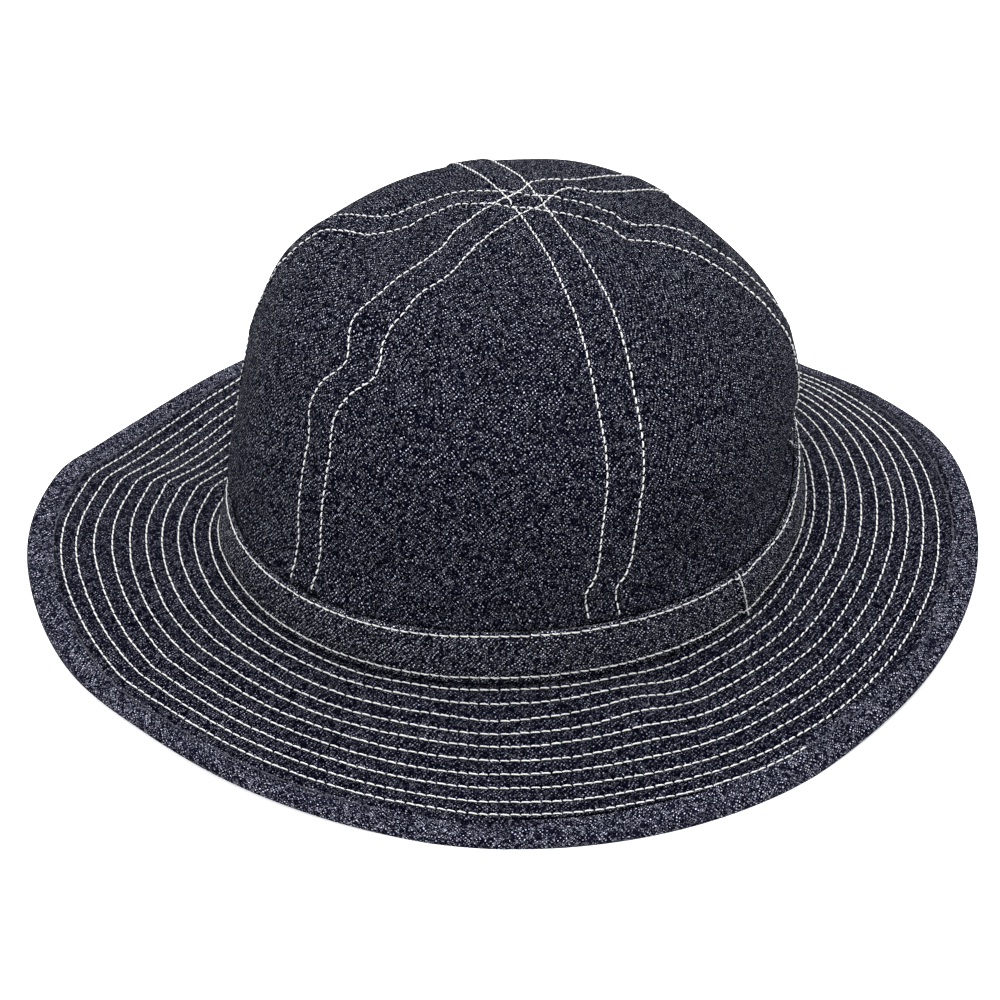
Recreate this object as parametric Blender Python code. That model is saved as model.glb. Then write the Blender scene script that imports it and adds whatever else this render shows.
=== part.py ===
# Denim work hat: six crown panels, a band, a stitched brim and the strip that binds its edge.
# The hat rests on the surface z = 0 on its brim's edge, with its front towards -Y.
# Angles run from the front (-Y) over the right (+X), in degrees.

import math

import bmesh
import bpy
import numpy as np

# Driving sizes, in metres
HEAD_RADIUS = 0.0968       # outside of the band
BAND_HEIGHT = 0.0185
BAND_CLOTH = 0.0016
BAND_LAP = 0.0120          # length of the band's overlapped end
CROWN_HEIGHT = 0.0848      # from the band's top edge to the middle of the crown's top
CROWN_CLOTH = 0.0014
SEAM_WIDTH = 0.0120        # felled seam between two crown panels
SEAM_RAISE = 0.0007        # how far a felled seam stands proud of the panels
BRIM_WIDTH = 0.0580        # along the cloth, from the band to the edge
BRIM_CLOTH = 0.0022
BRIM_MARGIN = 0.0038       # the brim's inner margin, turned in under the band
BINDING_WIDTH = 0.0098
BINDING_CLOTH = 0.0009
BRIM_TONGUE = 0.0012       # thickness of the brim's edge inside the binding
SIT_HEIGHT = 0.0165        # top of the brim at the band, over the surface
CLEARANCE = 0.0003         # between neighbouring pieces
CROWN_GAP = 0.0006         # between the crown's foot and the band round it

# Places round the hat, in degrees
SEAM_ANGLES = (19.5, 86.0, 138.5, 199.5, 261.5, 318.5)
BAND_JOINT = 47.0

# Smoothness
ROUND_STEPS = 90           # steps round the brim, the band and the binding
PANEL_STEPS = 8            # steps across one crown panel
CROWN_STEPS = 16           # steps from the band's top to the crown's top
PANEL_TIP = 0.993          # share of the way up at which a crown panel's point is cut off
BRIM_STEPS = 6             # steps across the brim

# The brim at stations round the hat. lift: its top at the band, over SIT_HEIGHT; edge: the height of
# its underside at the edge; hump: how far it arches between the two. These are shares of BRIM_WIDTH.
# reach: the width there, as a share of BRIM_WIDTH.
BRIM_STATIONS = (
    # angle, lift, edge, hump, reach
    (0, -0.050, -0.015, -0.010, 0.990),
    (15, -0.045, -0.022, -0.003, 0.990),
    (30, -0.040, -0.012, 0.005, 0.968),
    (45, -0.031, 0.020, 0.013, 0.931),
    (60, -0.010, 0.060, 0.019, 0.941),
    (75, 0.046, 0.105, 0.024, 0.972),
    (90, 0.100, 0.130, 0.026, 0.998),
    (105, 0.116, 0.118, 0.021, 1.028),
    (120, 0.104, 0.050, 0.012, 1.018),
    (135, 0.085, -0.010, 0.000, 0.978),
    (150, 0.100, -0.030, 0.002, 0.985),
    (165, 0.110, -0.024, 0.001, 0.990),
    (180, 0.110, -0.010, 0.000, 0.985),
    (195, 0.092, -0.014, 0.000, 0.958),
    (210, 0.035, -0.001, -0.020, 0.992),
    (225, -0.030, 0.020, -0.060, 1.010),
    (240, -0.088, 0.048, -0.091, 1.001),
    (255, -0.121, 0.111, -0.050, 1.036),
    (270, -0.135, 0.160, 0.009, 1.050),
    (285, -0.105, 0.142, 0.014, 1.043),
    (300, -0.090, 0.070, -0.008, 1.015),
    (315, -0.095, 0.062, -0.008, 0.948),
    (330, -0.090, 0.045, -0.008, 0.942),
    (345, -0.071, 0.013, -0.010, 0.956),
)

# Folds that run outwards over the brim. spread: half width in degrees; inner and outer: height at the
# band and at the edge, as shares of BRIM_WIDTH.
BRIM_FOLDS = (
    # angle, spread, inner, outer
    (262, 5.0, 0.020, 0.030),
    (14, 6.0, 0.014, 0.004),
    (30, 5.0, -0.012, -0.004),
)

# The crown at sections over the band. rise is a share of CROWN_HEIGHT; the reaches to the front, the
# right, the back and the left are shares of HEAD_RADIUS.
CROWN_SECTIONS = (
    # rise, front, right, back, left
    (0.050, 0.975, 0.955, 0.975, 0.949),
    (0.140, 0.950, 0.915, 0.950, 0.936),
    (0.320, 0.960, 0.905, 0.930, 0.903),
    (0.540, 0.915, 0.855, 0.860, 0.865),
    (0.730, 0.780, 0.725, 0.730, 0.765),
    (0.870, 0.630, 0.560, 0.660, 0.540),
    (0.950, 0.430, 0.340, 0.450, 0.340),
    (0.987, 0.240, 0.200, 0.250, 0.210),
)

# How the crown leans: shifts of its top to the right and the back, and what its top falls to the right
# and to the back over HEAD_RADIUS. All are shares of CROWN_HEIGHT.
CROWN_LEAN = {"right": 0.072, "back": 0.025, "fall_right": 0.075, "fall_back": 0.070}

# Dents and bulges of the crown. spread is in degrees, rise and height are shares of CROWN_HEIGHT, and
# depth, outwards where positive, is a share of HEAD_RADIUS.
CROWN_DENTS = (
    # angle, rise, spread, height, depth
    (195, 0.88, 22, 0.12, -0.040),
    (262, 0.80, 14, 0.10, 0.025),
    (308, 0.48, 12, 0.10, -0.022),
    (350, 0.06, 16, 0.05, 0.018),
    (330, 0.12, 10, 0.08, -0.012),
    (88, 0.07, 17, 0.06, -0.055),
    (84, 0.30, 22, 0.12, 0.012),
)

# Where a seam strays from its straight way up. seam: its place in SEAM_ANGLES; rise and height are shares
# of the crown's height, and shift, towards growing angles where positive, is a share of SEAM_WIDTH.
SEAM_SHIFTS = (
    # seam, rise, height, shift
    (0, 0.050, 0.100, -0.36),
    (0, 0.095, 0.030, -0.12),
    (0, 0.300, 0.160, -0.12),
    (1, 0.955, 0.025, -0.25),
    (4, 0.915, 0.045, 0.42),
    (4, 0.820, 0.035, -0.28),
    (5, 0.930, 0.025, 0.22),
    (5, 0.800, 0.040, -0.10),
    (5, 0.710, 0.050, 0.36),
    (5, 0.570, 0.060, -0.18),
)

# Where the head opening is narrower than round. spread is a half width in degrees, and inset a share of
# HEAD_RADIUS.
HEAD_INSETS = (
    # angle, spread, inset
    (225, 16, 0.084),
    (250, 16, 0.093),
)

# Where the band's top edge leans in. spread is a half width in degrees, and lean a share of BAND_HEIGHT.
BAND_LEANS = (
    # angle, spread, lean
    (88, 24, 0.22),
    (276, 22, 0.25),
)

DENIM = {"crown": (0.020, 0.025, 0.042), "brim": (0.018, 0.022, 0.036), "binding": (0.030, 0.038, 0.060)}


def smooth_step(value):
    """0 below 0, 1 above 1 and a soft ramp between."""
    value = np.clip(value, 0.0, 1.0)
    return value * value * (3.0 - 2.0 * value)


def through(rows, place):
    """A smooth curve through the rows, at a place counted in rows from the first."""
    rows = np.asarray(rows, float)
    index = np.clip(np.floor(place).astype(int), 1, len(rows) - 3)
    part = (place - index)[..., None]
    a, b, c, d = (rows[index + step] for step in (-1, 0, 1, 2))
    slope_b = 0.5 * (c - a)
    slope_c = 0.5 * (d - b)
    cube = 2.0 * b - 2.0 * c + slope_b + slope_c
    square = -3.0 * b + 3.0 * c - 2.0 * slope_b - slope_c
    return ((cube * part + square) * part + slope_b) * part + b


def station(angle):
    """lift, edge, hump and reach of the brim at an angle, from the closed ring of stations."""
    table = [row[1:] for row in BRIM_STATIONS]
    ring = table[-1:] + table + table[:2]
    spacing = 360.0 / len(table)
    return through(ring, np.mod(angle, 360.0) / spacing + 1.0)


def apart(angle, other):
    """The angle between two directions, from -180 to 180 degrees."""
    return np.mod(angle - other + 180.0, 360.0) - 180.0


def bells(angle, table):
    """The sum of soft bells round the hat, from rows of angle, spread and height."""
    total = np.zeros_like(np.asarray(angle, float))
    for middle, spread, height in table:
        total = total + height * np.exp(-(apart(angle, middle) / spread) ** 2)
    return total


def head_radius(angle):
    """Radius of the band's outside at its foot."""
    return HEAD_RADIUS * (1.0 - bells(angle, HEAD_INSETS))


def band_lean(angle):
    """How far the band's top edge leans in."""
    return BAND_HEIGHT * bells(angle, BAND_LEANS)


def band_foot(angle):
    """Height of the brim's top where it meets the band."""
    return SIT_HEIGHT + station(angle)[..., 0] * BRIM_WIDTH


def edge_depth():
    """Thickness of the bound edge."""
    return BRIM_TONGUE + 2.0 * (BINDING_CLOTH + CLEARANCE)


def brim_top(angle, run):
    """Radius and height of the brim's top at an angle, a run of cloth outwards from the band."""
    angle, run = np.broadcast_arrays(np.asarray(angle, float), np.asarray(run, float))
    lift, edge, hump, reach = np.moveaxis(station(angle), -1, 0)
    width = BRIM_WIDTH * reach
    start = SIT_HEIGHT + lift * BRIM_WIDTH
    end = edge * BRIM_WIDTH + edge_depth()
    fold = np.zeros_like(angle)
    share = run / width
    out = np.clip(share, 0.0, 1.0)
    for middle, spread, inner, outer in BRIM_FOLDS:
        bell = np.exp(-(apart(angle, middle) / spread) ** 2)
        fold = fold + bell * (inner + (outer - inner) * out) * BRIM_WIDTH
    steps = 16
    radius = head_radius(angle)
    for step in range(steps):
        middle = share * (step + 0.5) / steps
        slope = (end - start) / width + hump * 4.0 * (1.0 - 2.0 * middle) * BRIM_WIDTH / width
        radius = radius + np.sqrt(1.0 - np.clip(slope, -0.9, 0.9) ** 2) * run / steps
    height = start + (end - start) * share + hump * BRIM_WIDTH * 4.0 * share * (1.0 - share)
    inside = run < 0.0
    radius = np.where(inside, head_radius(angle) + run, radius)
    height = np.where(inside, start, height + fold * smooth_step(share * 8.0))
    return radius, np.maximum(height, edge_depth())


def to_space(angle, radius, height):
    """Points from an angle, a radius and a height."""
    turn = np.radians(angle)
    return np.stack([radius * np.sin(turn), -radius * np.cos(turn), height], axis=-1)


def throat(angle):
    """Outer radius of the crown's foot inside the band."""
    return head_radius(angle) - BAND_CLOTH - CROWN_GAP


def crown_row(share):
    """Rise and four reaches of the crown, at a share of the way from the band's top to the middle."""
    first = 1.0 - (BAND_CLOTH + CROWN_GAP) / HEAD_RADIUS
    table = [(0.0, first, first, first, first)] + list(CROWN_SECTIONS) + [(1.0, 0.0, 0.0, 0.0, 0.0)]
    below = (-table[1][0],) + (first,) * 4
    beyond = (table[-2][0],) + tuple(-reach for reach in table[-2][1:])
    last = len(table) - 1
    return through([below] + table + [beyond], np.asarray(share, float) * last + 1.0)


def crown_skin(angle, share):
    """Points of the crown's outside, without its seams."""
    angle, share = np.broadcast_arrays(np.asarray(angle, float), np.asarray(share, float))
    rise, front, right, back, left = np.moveaxis(crown_row(share), -1, 0)
    turn = np.radians(angle)
    along = np.where(np.cos(turn) > 0.0, front, back) * np.cos(turn)
    across = np.where(np.sin(turn) > 0.0, right, left) * np.sin(turn)
    reach = np.hypot(along, across)
    for middle, level, spread, height, depth in CROWN_DENTS:
        bell = np.exp(-(apart(angle, middle) / spread) ** 2 - ((rise - level) / height) ** 2)
        reach = reach + depth * bell * smooth_step(share * 10.0)
    radius = reach * HEAD_RADIUS - (HEAD_RADIUS - head_radius(angle)) * (1.0 - smooth_step(share * 3.0))
    radius = radius - band_lean(angle) * (1.0 - smooth_step(share * 9.0))
    points = to_space(angle, radius, 0.0 * rise)
    side = points[..., 0] / HEAD_RADIUS
    rear = points[..., 1] / HEAD_RADIUS
    fall = CROWN_LEAN["fall_right"] * side + CROWN_LEAN["fall_back"] * rear
    base = SIT_HEIGHT + BAND_HEIGHT + (band_foot(angle) - SIT_HEIGHT) * (1.0 - rise)
    points[..., 0] += CROWN_LEAN["right"] * CROWN_HEIGHT * rise
    points[..., 1] += CROWN_LEAN["back"] * CROWN_HEIGHT * rise
    points[..., 2] = base + CROWN_HEIGHT * rise * (1.0 - fall)
    return points


def crown_normal(angle, share):
    """Outward directions of the crown."""
    turn, step = 0.5, 0.004
    share = np.clip(share, 2.0 * step, 1.0 - 2.0 * step)
    around = crown_skin(angle + turn, share) - crown_skin(angle - turn, share)
    upward = crown_skin(angle, share + step) - crown_skin(angle, share - step)
    normal = np.cross(around, upward)
    return normal / np.linalg.norm(normal, axis=-1, keepdims=True)


def seam_angle(seam, share):
    """Angle of a seam's middle line, at a share of the way from the band's top to the middle."""
    row = crown_row(share)
    stray = np.zeros_like(np.asarray(share, float))
    for place, level, height, shift in SEAM_SHIFTS:
        if place == seam:
            stray = stray + shift * np.exp(-((row[..., 0] - level) / height) ** 2)
    reach = np.maximum(row[..., 1:].mean(axis=-1), 0.3) * HEAD_RADIUS
    return SEAM_ANGLES[seam] + np.degrees(stray * SEAM_WIDTH / reach)


def seam_gap(points, angle, share):
    """Distance of crown points from the nearest seam's middle line."""
    middle = crown_skin(np.zeros(1), np.ones(1))[0]
    from_top = np.linalg.norm(points - middle, axis=-1)
    turns = [np.abs(apart(angle, seam_angle(seam, share))) for seam in range(len(SEAM_ANGLES))]
    return from_top * np.sin(np.radians(np.minimum(np.min(turns, axis=0), 90.0)))


def crown_face(angle, share, depth):
    """Points of the crown at a depth under its outside; seams are raised on the outside."""
    skin = crown_skin(angle, share)
    normal = crown_normal(angle, share)
    off = seam_gap(skin, angle, share)
    raised = smooth_step((SEAM_WIDTH * 0.5 - off) / (SEAM_WIDTH * 0.12)) * smooth_step(share * 14.0)
    lift = np.where(depth > 0.0, -depth, SEAM_RAISE * raised)
    return skin + normal * lift[..., None]


def mesh_object(name, points, faces, colour, shades):
    """A closed mesh object with its own material."""
    mesh = bpy.data.meshes.new(name)
    mesh.from_pydata([tuple(point) for point in points], [], faces)
    work = bmesh.new()
    work.from_mesh(mesh)
    bmesh.ops.recalc_face_normals(work, faces=work.faces)
    work.to_mesh(mesh)
    work.free()
    mesh.shade_smooth()
    mesh.set_sharp_from_angle(angle=math.radians(shades))
    part = bpy.data.objects.new(name, mesh)
    bpy.context.collection.objects.link(part)
    material = bpy.data.materials.new(name + "_denim")
    material.use_nodes = True
    shader = material.node_tree.nodes["Principled BSDF"]
    shader.inputs["Base Color"].default_value = (*colour, 1.0)
    shader.inputs["Roughness"].default_value = 0.9
    shader.inputs["Metallic"].default_value = 0.0
    mesh.materials.append(material)
    return part


def ring_object(name, angles, section, colour, closed=True):
    """A solid swept round the hat. section(angles) gives radii and heights, corners by angles."""
    radii, heights = section(angles)
    corners, steps = radii.shape
    points = to_space(angles[None, :], radii, heights).transpose(1, 0, 2).reshape(-1, 3)
    faces = []
    for step in range(steps if closed else steps - 1):
        here = step * corners
        there = ((step + 1) % steps) * corners
        for corner in range(corners):
            after = (corner + 1) % corners
            faces.append((here + corner, here + after, there + after, there + corner))
    if not closed:
        faces.append(tuple(range(corners)))
        faces.append(tuple((steps - 1) * corners + corner for corner in reversed(range(corners))))
    return mesh_object(name, points, faces, colour, 40)


def brim_section(angles):
    """The brim's section: its top from the margin to the tongue in the binding, then its underside."""
    reach = station(angles)[..., 3] * BRIM_WIDTH
    neck = reach - BINDING_WIDTH - CLEARANCE
    runs = [np.full_like(reach, -BRIM_MARGIN)]
    runs += [neck * step / BRIM_STEPS for step in range(BRIM_STEPS + 1)]
    radii, heights = np.array([brim_top(angles, run) for run in runs]).transpose(1, 0, 2)
    tip = reach - BINDING_CLOTH - CLEARANCE
    slot = np.array([brim_top(angles, run) for run in (neck, tip)]).transpose(1, 0, 2)
    tongue_drop = BINDING_CLOTH + CLEARANCE
    radii = np.vstack([radii, slot[0], slot[0][::-1], radii[::-1]])
    under = heights[::-1] - BRIM_CLOTH
    below = slot[1][::-1] - tongue_drop - BRIM_TONGUE
    under[0] = np.minimum(under[0], below[-1])
    heights = np.vstack([heights, slot[1] - tongue_drop, below, under])
    return radii, heights


def binding_section(angles):
    """The binding's section, folded round the brim's edge, flat where it rests."""
    reach = station(angles)[..., 3] * BRIM_WIDTH
    lip = reach - BINDING_WIDTH
    inside = reach - BINDING_CLOTH
    runs = (lip, reach - BINDING_WIDTH * 0.5, inside, reach)
    radii, heights = np.array([brim_top(angles, run) for run in runs]).transpose(1, 0, 2)
    slot = np.array([brim_top(angles, run) for run in (lip, inside)]).transpose(1, 0, 2)
    depth = edge_depth()
    roof = slot[1] - BINDING_CLOTH
    floor = slot[1] - depth + BINDING_CLOTH
    top = np.vstack([heights[:3], heights[3:] - BINDING_CLOTH])
    bottom = np.vstack([heights[3:] - depth + BINDING_CLOTH, heights[2::-1] - depth])
    radii = np.vstack([radii, radii[::-1], slot[0], slot[0][::-1]])
    return radii, np.vstack([top, bottom, floor, roof[::-1]])


def band_section(angles):
    """The band's section; past one turn it lies on its own start."""
    foot = band_foot(angles)
    lap = math.degrees(BAND_LAP / HEAD_RADIUS)
    over = smooth_step((angles - BAND_JOINT - 360.0 + lap * 0.5) / (lap * 0.4))
    out = head_radius(angles) + over * (BAND_CLOTH + CLEARANCE)
    top = out - band_lean(angles)
    low = foot + CLEARANCE
    high = low + BAND_HEIGHT - CLEARANCE
    return np.array([out, top, top - BAND_CLOTH, out - BAND_CLOTH]), np.array([low, high, high, low])


def build_panel(name, seam):
    """One crown panel from a seam to the next, from its foot inside the band to the crown's top."""
    shares = np.linspace(0.0, PANEL_TIP, CROWN_STEPS + 1)
    across = np.linspace(0.0, 1.0, PANEL_STEPS + 1)
    rows = []
    for share in shares:
        reach = float(np.max(crown_row(share)[1:])) * HEAD_RADIUS
        shift = math.degrees(math.asin(CLEARANCE * 0.5 / reach))
        first = seam_angle(seam, share) + shift
        last = seam_angle((seam + 1) % len(SEAM_ANGLES), share) - shift
        rows.append(first + np.mod(last - first, 360.0) * across)
    angles = np.array(rows)
    shares = np.repeat(shares[:, None], PANEL_STEPS + 1, axis=1)
    outer = crown_face(angles, shares, np.zeros_like(shares))
    inner = crown_face(angles, shares, np.full_like(shares, CROWN_CLOTH))
    foot_angle = angles[:1]
    foot_height = band_foot(foot_angle) + CLEARANCE
    outer_foot = to_space(foot_angle, throat(foot_angle), foot_height)
    inner_foot = to_space(foot_angle, throat(foot_angle) - CROWN_CLOTH, foot_height)
    inner[0] = outer[0] + (inner_foot - outer_foot)[0]
    outer = np.concatenate([outer_foot, outer])
    inner = np.concatenate([inner_foot, inner])
    count, wide = outer.shape[:2]
    points = np.concatenate([outer.reshape(-1, 3), inner.reshape(-1, 3)])
    back = count * wide
    faces = []
    for row in range(count - 1):
        for column in range(wide - 1):
            a = row * wide + column
            faces.append((a, a + 1, a + wide + 1, a + wide))
            faces.append((back + a, back + a + wide, back + a + wide + 1, back + a + 1))
        for side in (0, wide - 1):
            a = row * wide + side
            faces.append((a, a + wide, back + a + wide, back + a))
    for row in (0, count - 1):
        for column in range(wide - 1):
            a = row * wide + column
            faces.append((a, back + a, back + a + 1, a + 1))
    return mesh_object(name, points, faces, DENIM["crown"], 50)


def build_crown():
    """Six panels from seam to seam, named by the side that they face."""
    names = ("front_right", "back_right", "back", "back_left", "front_left", "front")
    return [build_panel("crown_panel_" + name, seam) for seam, name in enumerate(names)]


def build_band():
    """The band, one strip that overlaps its own start at the joint."""
    lap = math.degrees(BAND_LAP / HEAD_RADIUS)
    angles = np.linspace(BAND_JOINT, BAND_JOINT + 360.0 + lap * 0.5, ROUND_STEPS + 3)
    return ring_object("hat_band", angles, band_section, DENIM["crown"], closed=False)


def build_brim():
    """The brim and the strip that binds its edge."""
    angles = np.arange(ROUND_STEPS) * 360.0 / ROUND_STEPS
    brim = ring_object("brim", angles, brim_section, DENIM["brim"])
    binding = ring_object("brim_binding", angles, binding_section, DENIM["binding"])
    return [brim, binding]


def main():
    for old in list(bpy.data.objects):
        bpy.data.objects.remove(old)
    pieces = build_crown() + [build_band()] + build_brim()
    edge = np.array([vertex.co for vertex in pieces[-1].data.vertices])
    middle = 0.5 * (edge.min(axis=0) + edge.max(axis=0))
    base = bpy.data.objects.new("hat_base", None)
    base.location = (-middle[0], -middle[1], 0.0)
    bpy.context.collection.objects.link(base)
    for piece in pieces:
        piece.parent = base


main()
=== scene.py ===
# Looks of the denim hat: cloth with its seams, puckers and folds, the stitches, and a pale studio. Angles
# are in degrees from the front (-Y) over the right (+X), a run is a length of cloth outwards from the band,
# and a share counts the crown's sections upwards.

import math

import bpy
import numpy as np
from mathutils.bvhtree import BVHTree
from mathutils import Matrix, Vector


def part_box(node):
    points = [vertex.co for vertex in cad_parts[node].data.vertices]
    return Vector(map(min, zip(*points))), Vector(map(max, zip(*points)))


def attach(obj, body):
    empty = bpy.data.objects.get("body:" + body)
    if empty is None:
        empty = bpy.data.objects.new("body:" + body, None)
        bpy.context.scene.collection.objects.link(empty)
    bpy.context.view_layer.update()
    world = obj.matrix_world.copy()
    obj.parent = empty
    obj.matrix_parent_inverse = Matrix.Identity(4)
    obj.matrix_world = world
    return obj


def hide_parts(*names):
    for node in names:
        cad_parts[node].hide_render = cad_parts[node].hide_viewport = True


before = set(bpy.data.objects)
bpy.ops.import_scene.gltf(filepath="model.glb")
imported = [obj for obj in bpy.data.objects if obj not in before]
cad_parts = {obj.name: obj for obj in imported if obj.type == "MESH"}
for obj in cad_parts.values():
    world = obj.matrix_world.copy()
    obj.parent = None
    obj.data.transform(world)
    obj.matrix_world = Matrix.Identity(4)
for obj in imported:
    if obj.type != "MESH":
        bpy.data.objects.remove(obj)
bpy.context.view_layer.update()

MM = 0.001

# Sizes of the part, in metres
HEAD_RADIUS = 0.0968
BAND_HEIGHT = 0.0185
BAND_CLOTH = 0.0016
BAND_LAP = 0.0120
CROWN_HEIGHT = 0.0848
CROWN_CLOTH = 0.0014
SEAM_WIDTH = 0.0120
BRIM_WIDTH = 0.0580
BRIM_CLOTH = 0.0022
BINDING_WIDTH = 0.0098
BINDING_CLOTH = 0.0009
BRIM_TONGUE = 0.0012
SIT_HEIGHT = 0.0165
CLEARANCE = 0.0003
CROWN_GAP = 0.0006
SEAM_ANGLES = (19.5, 86.0, 138.5, 199.5, 261.5, 318.5)
BAND_JOINT = 47.0

# Stitches
THREAD = 0.00053
STITCH = 0.00298           # pitch of the stitches on the brim and the band
CROWN_STITCH = 0.00252
FIRST_ROW = 0.0024         # run of the brim's first row
ROW_SPACE = 0.00512
BRIM_ROWS = 10
LAST_ROW = FIRST_ROW + ROW_SPACE * (BRIM_ROWS - 1)
# Each seam's rows lie this far from its middle, and all come closer at the top
SEAM_ROWS = (0.0063, 0.0056, 0.0058, 0.0054, 0.0056, 0.0063)
SEAM_ROW_TOP = 0.0050
BAND_ROWS = (0.0026, 0.0174)   # rises of the band's rows
BAND_GROOVES = (0.00012, 0.00030)

# Character of the brim's stitches round the hat: fill is the share of a stitch's pitch that shows, and
# slant is its drift outwards, in threads.
STITCH_SIDES = (
    # angle, fill, slant
    (0, 0.98, 0.30),
    (25, 0.93, 0.15),
    (50, 0.80, -0.30),
    (80, 0.92, -0.20),
    (120, 0.88, -0.20),
    (180, 0.88, 0.00),
    (240, 0.84, -0.15),
    (280, 0.96, -0.15),
    (325, 0.97, -0.05),
)

BRIM_STATIONS = (
    # angle, lift, edge, hump, reach
    (0, -0.050, -0.015, -0.010, 0.990),
    (15, -0.045, -0.022, -0.003, 0.990),
    (30, -0.040, -0.012, 0.005, 0.968),
    (45, -0.031, 0.020, 0.013, 0.931),
    (60, -0.010, 0.060, 0.019, 0.941),
    (75, 0.046, 0.105, 0.024, 0.972),
    (90, 0.100, 0.130, 0.026, 0.998),
    (105, 0.116, 0.118, 0.021, 1.028),
    (120, 0.104, 0.050, 0.012, 1.018),
    (135, 0.085, -0.010, 0.000, 0.978),
    (150, 0.100, -0.030, 0.002, 0.985),
    (165, 0.110, -0.024, 0.001, 0.990),
    (180, 0.110, -0.010, 0.000, 0.985),
    (195, 0.092, -0.014, 0.000, 0.958),
    (210, 0.035, -0.001, -0.020, 0.992),
    (225, -0.030, 0.020, -0.060, 1.010),
    (240, -0.088, 0.048, -0.091, 1.001),
    (255, -0.121, 0.111, -0.050, 1.036),
    (270, -0.135, 0.160, 0.009, 1.050),
    (285, -0.105, 0.142, 0.014, 1.043),
    (300, -0.090, 0.070, -0.008, 1.015),
    (315, -0.095, 0.062, -0.008, 0.948),
    (330, -0.090, 0.045, -0.008, 0.942),
    (345, -0.071, 0.013, -0.010, 0.956),
)

BRIM_FOLDS = (
    # angle, spread, inner, outer
    (262, 5.0, 0.020, 0.030),
    (14, 6.0, 0.014, 0.004),
    (30, 5.0, -0.012, -0.004),
)

# Where the rows stray from even spaces. row counts from 0 at the band, rows is the half width in rows, and
# shift, outwards where positive, is in millimetres.
ROW_DRIFTS = (
    # angle, spread, row, rows, shift
    (0, 60, 9.0, 0.7, -1.1),
    (-78, 12, 8.3, 1.8, 1.6),
    (-2, 6, 2.2, 1.0, 1.2),
    (-20, 16, 1.0, 0.7, -0.7),
    (62, 9, 2.0, 3.0, -0.9),
    (10, 7, 0.8, 0.8, -0.7),
)

# Low bumps of the brim. height is in millimetres.
BRIM_BUMPS = (
    # angle, spread, row, rows, height
    (19, 5.0, 2.8, 2.4, 2.5),
    (29, 5.0, 1.5, 2.0, -0.7),
    (-42, 8.0, 2.0, 3.0, 0.6),
    (76, 5.0, 2.0, 1.6, 0.9),
    (264, 2.5, 5.0, 6.0, 1.0),
)

CROWN_SECTIONS = (
    # rise, front, right, back, left
    (0.050, 0.975, 0.955, 0.975, 0.949),
    (0.140, 0.950, 0.915, 0.950, 0.936),
    (0.320, 0.960, 0.905, 0.930, 0.903),
    (0.540, 0.915, 0.855, 0.860, 0.865),
    (0.730, 0.780, 0.725, 0.730, 0.765),
    (0.870, 0.630, 0.560, 0.660, 0.540),
    (0.950, 0.430, 0.340, 0.450, 0.340),
    (0.987, 0.240, 0.200, 0.250, 0.210),
)

CROWN_LEAN = {"right": 0.072, "back": 0.025, "fall_right": 0.075, "fall_back": 0.070}

CROWN_DENTS = (
    # angle, rise, spread, height, depth
    (195, 0.88, 22, 0.12, -0.040),
    (262, 0.80, 14, 0.10, 0.025),
    (308, 0.48, 12, 0.10, -0.022),
    (350, 0.06, 16, 0.05, 0.018),
    (330, 0.12, 10, 0.08, -0.012),
    (88, 0.07, 17, 0.06, -0.055),
    (84, 0.30, 22, 0.12, 0.012),
)

HEAD_INSETS = (
    # angle, spread, inset
    (225, 16, 0.084),
    (250, 16, 0.093),
)

BAND_LEANS = (
    # angle, spread, lean
    (88, 24, 0.22),
    (276, 22, 0.25),
)

SEAM_SHIFTS = (
    # seam, rise, height, shift
    (0, 0.060, 0.110, -0.42),
    (0, 0.118, 0.030, -0.13),
    (0, 0.300, 0.160, -0.17),
    (1, 0.955, 0.025, -0.25),
    (2, 0.994, 0.008, 0.80),
    (4, 0.915, 0.045, 0.42),
    (4, 0.820, 0.035, -0.28),
    (5, 0.930, 0.025, 0.22),
    (5, 0.800, 0.040, -0.10),
    (5, 0.710, 0.050, 0.36),
    (5, 0.570, 0.060, -0.18),
)

# Low folds of the crown's cloth. depth, outwards where positive, is in millimetres.
CROWN_FOLDS = (
    # angle, share, spread, height, depth
    (-86, 0.720, 15.0, 0.045, -3.2),
    (-98, 0.625, 12.0, 0.040, 1.4),
    (-37, 0.590, 6.5, 0.026, -3.2),
    (-47, 0.610, 6.0, 0.045, 1.3),
    (-40, 0.505, 10.0, 0.026, 1.3),
    (-57, 0.790, 12.0, 0.028, -1.8),
    (-34, 0.745, 12.0, 0.030, 0.9),
    (80, 0.795, 12.0, 0.030, -2.0),
    (98, 0.720, 12.0, 0.040, 1.0),
    (-4, 0.205, 30.0, 0.055, 2.2),
    (-9, 0.105, 9.0, 0.045, -2.6),
    (-2, 0.115, 4.0, 0.040, -2.2),
    (4, 0.110, 4.5, 0.030, -2.6),
    (14, 0.205, 7.0, 0.022, 1.2),
    (16, 0.145, 9.0, 0.025, -1.8),
    (-30, 0.140, 9.0, 0.040, -1.2),
    (34, 0.190, 9.0, 0.060, -1.0),
    (48, 0.260, 10.0, 0.070, 1.0),
    (-62, 0.300, 10.0, 0.080, 1.0),
    (150, 0.300, 14.0, 0.100, 1.4),
    (205, 0.420, 12.0, 0.080, -1.6),
    (232, 0.260, 12.0, 0.080, 1.2),
)
# How far the top's middle lies to the right and the back of the crown's, in metres
TOP_SHIFT = (-0.0014, 0.0030)

# Camera: the photograph's view, fitted to the stitch rows
VIEW_ELEVATION = 34.0
VIEW_DISTANCE = 0.750
VIEW_FOCAL = 2280.0        # pixels in a frame 1000 wide
FRAME = 1000.0
TARGET_PIXEL = (510.0, 492.3)
SENSOR = 36.0


def smooth_step(value):
    """0 below 0, 1 above 1 and a soft ramp between."""
    value = np.clip(value, 0.0, 1.0)
    return value * value * (3.0 - 2.0 * value)


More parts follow.
